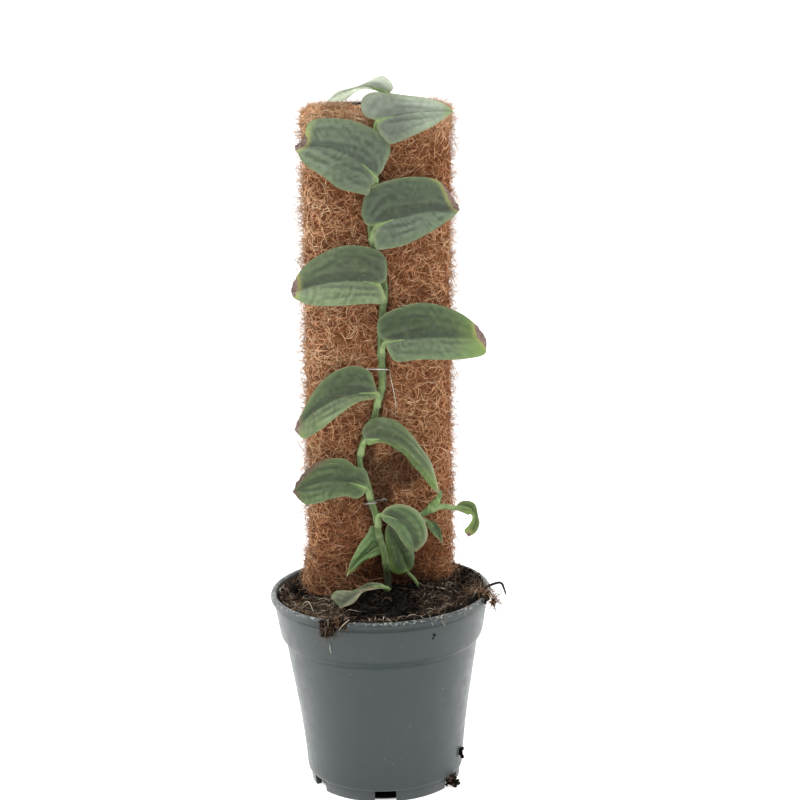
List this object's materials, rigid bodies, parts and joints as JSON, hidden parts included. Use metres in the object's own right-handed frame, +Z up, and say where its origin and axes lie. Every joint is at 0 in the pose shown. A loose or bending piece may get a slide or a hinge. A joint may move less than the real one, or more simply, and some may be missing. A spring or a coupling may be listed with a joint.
{
  "type": "potted rhaphidophora tenuis",
  "caption": "Shingling aroid with paired rows of satin leaves climbing a flat coir board, set in peat in a tapered grey nursery pot.",
  "frame": {"origin": "centre of the pot's foot ring on the surface it stands on, which is also the bottom centre of the box", "axes": "+Z up along the pot's axis, -Y to the front, where the leaves are, +X to the right"},
  "size_m": [0.12, 0.12, 0.3821],
  "materials": {
    "pot_plastic": "satin grey injection-moulded plastic, dusty",
    "peat": "crumbly dark peat with fibres",
    "core_plastic": "matte black",
    "coir": "matted coconut fibre, fuzzy",
    "stem_green": "satin green stem",
    "leaf_pale": "satin pale silver-green leaf",
    "leaf_grey_green": "satin grey-green leaf with impressed veins",
    "leaf_green": "satin green leaf with impressed veins",
    "leaf_dark": "satin dark green leaf",
    "tie_wire": "dull thin wire"
  },
  "bodies": {
    "root": {"pot": "pot_plastic", "soil": "peat", "board_core": "core_plastic", "board_coir": "coir", "main_stem": "stem_green", "side_shoot": "stem_green", "leaf_00_top": "leaf_pale", "leaf_01": "leaf_pale", "leaf_02": "leaf_grey_green", "leaf_03": "leaf_grey_green", "leaf_04": "leaf_grey_green", "leaf_05": "leaf_grey_green", "leaf_06": "leaf_grey_green", "leaf_07": "leaf_green", "leaf_08": "leaf_green", "leaf_09": "leaf_green", "leaf_10": "leaf_green", "leaf_11": "leaf_dark", "leaf_12": "leaf_pale", "leaf_13_curled": "leaf_green", "leaf_14_small": "leaf_green", "tie_wire_upper": "tie_wire", "tie_wire_lower": "tie_wire"}
  },
  "joints": []
}
